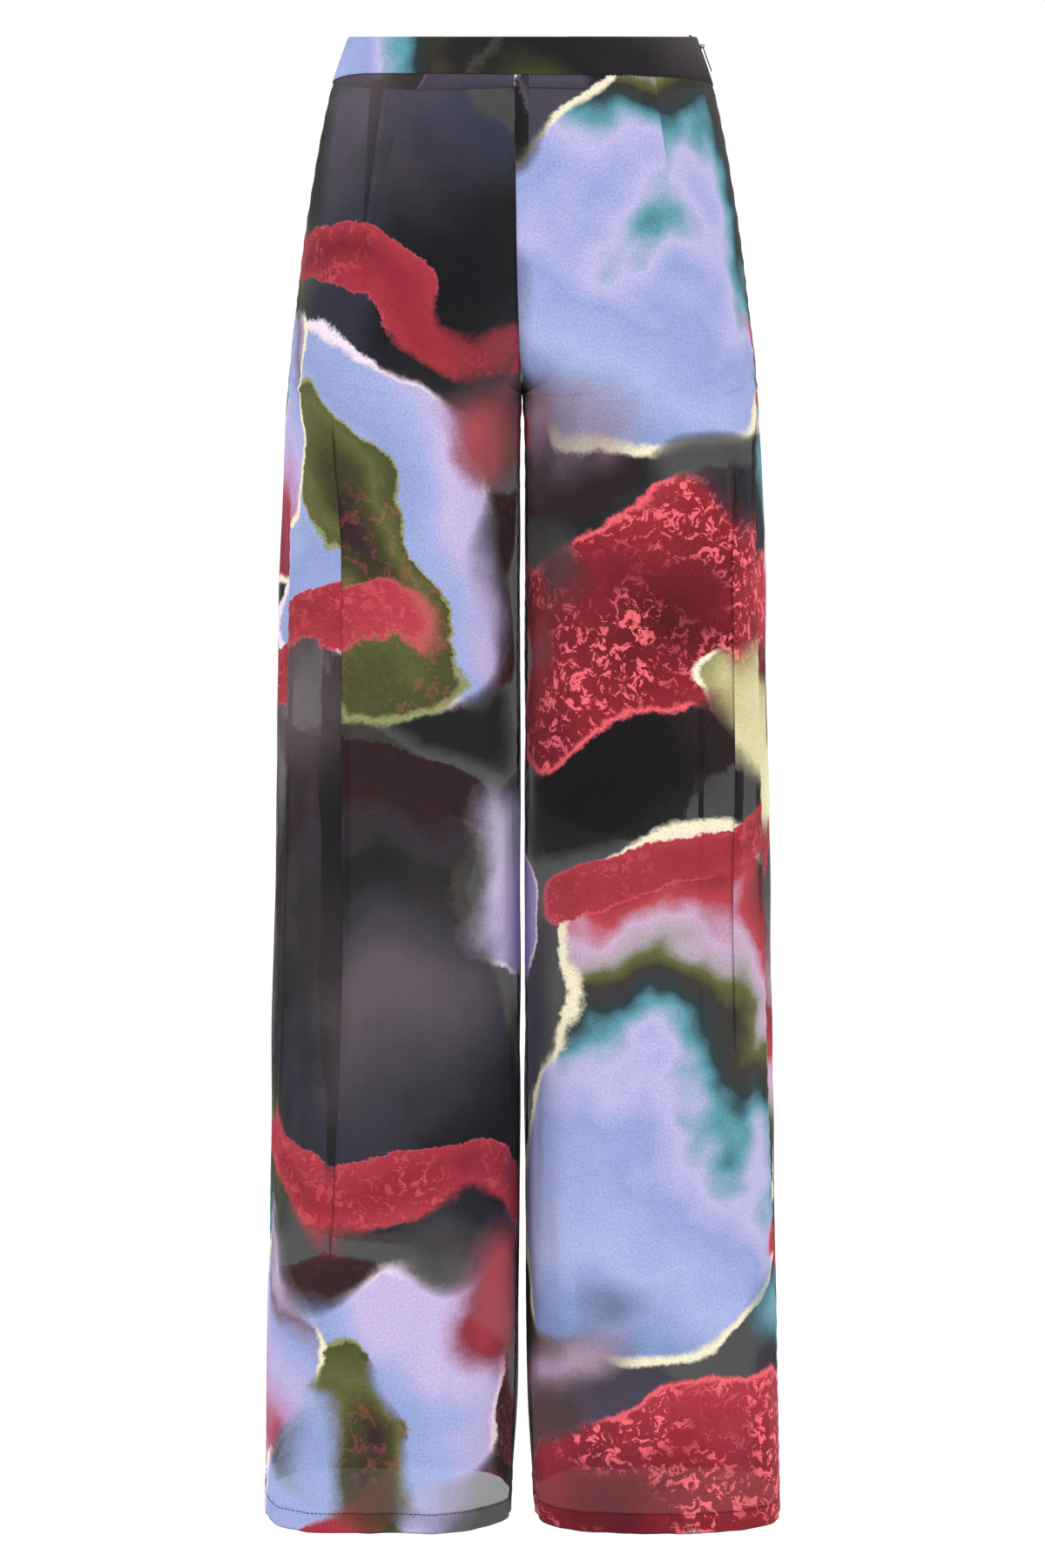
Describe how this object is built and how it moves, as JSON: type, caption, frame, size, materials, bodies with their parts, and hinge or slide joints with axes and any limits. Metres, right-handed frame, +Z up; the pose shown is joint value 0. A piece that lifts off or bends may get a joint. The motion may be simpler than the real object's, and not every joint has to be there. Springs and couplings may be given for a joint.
{
  "type": "straight-leg trousers, filled out with no wearer",
  "caption": "High-waisted straight-leg trousers in sheer printed woven cloth with a plain waistband, soft leg pleats and a concealed zip in the left side seam.",
  "frame": {"origin": "centre of the waist opening, halfway up the waistband at the side, where the wearer's waist holds the garment up", "axes": "+Z up along the garment, -Y out of the centre front, +X toward the wearer's left"},
  "size_m": [0.384, 0.2476, 1.0875],
  "materials": {
    "sheer_printed_cloth": "matte sheer crepe",
    "waistband_cloth": "matte",
    "zip_tape": "matte",
    "zip_metal": "satin black lacquer"
  },
  "bodies": {
    "garment": {"front_left": "sheer_printed_cloth", "front_right": "sheer_printed_cloth", "back_left": "sheer_printed_cloth", "back_right": "sheer_printed_cloth", "front_dart_left": "sheer_printed_cloth", "front_dart_right": "sheer_printed_cloth", "back_dart_left": "sheer_printed_cloth", "back_dart_right": "sheer_printed_cloth", "waistband": "waistband_cloth", "zip_tape_front": "zip_tape", "zip_tape_back": "zip_tape", "zip_slider": "zip_metal"},
    "pull": {"zip_pull": "zip_metal"}
  },
  "joints": [
    {"name": "zip_pull_swing", "type": "hinge", "parent": "garment", "child": "pull", "pos_m": [0.12936, -0.00829, 0.00957], "axis": [-0.0852, -0.9963, -0.0089], "range_deg": [0, 150]}
  ]
}
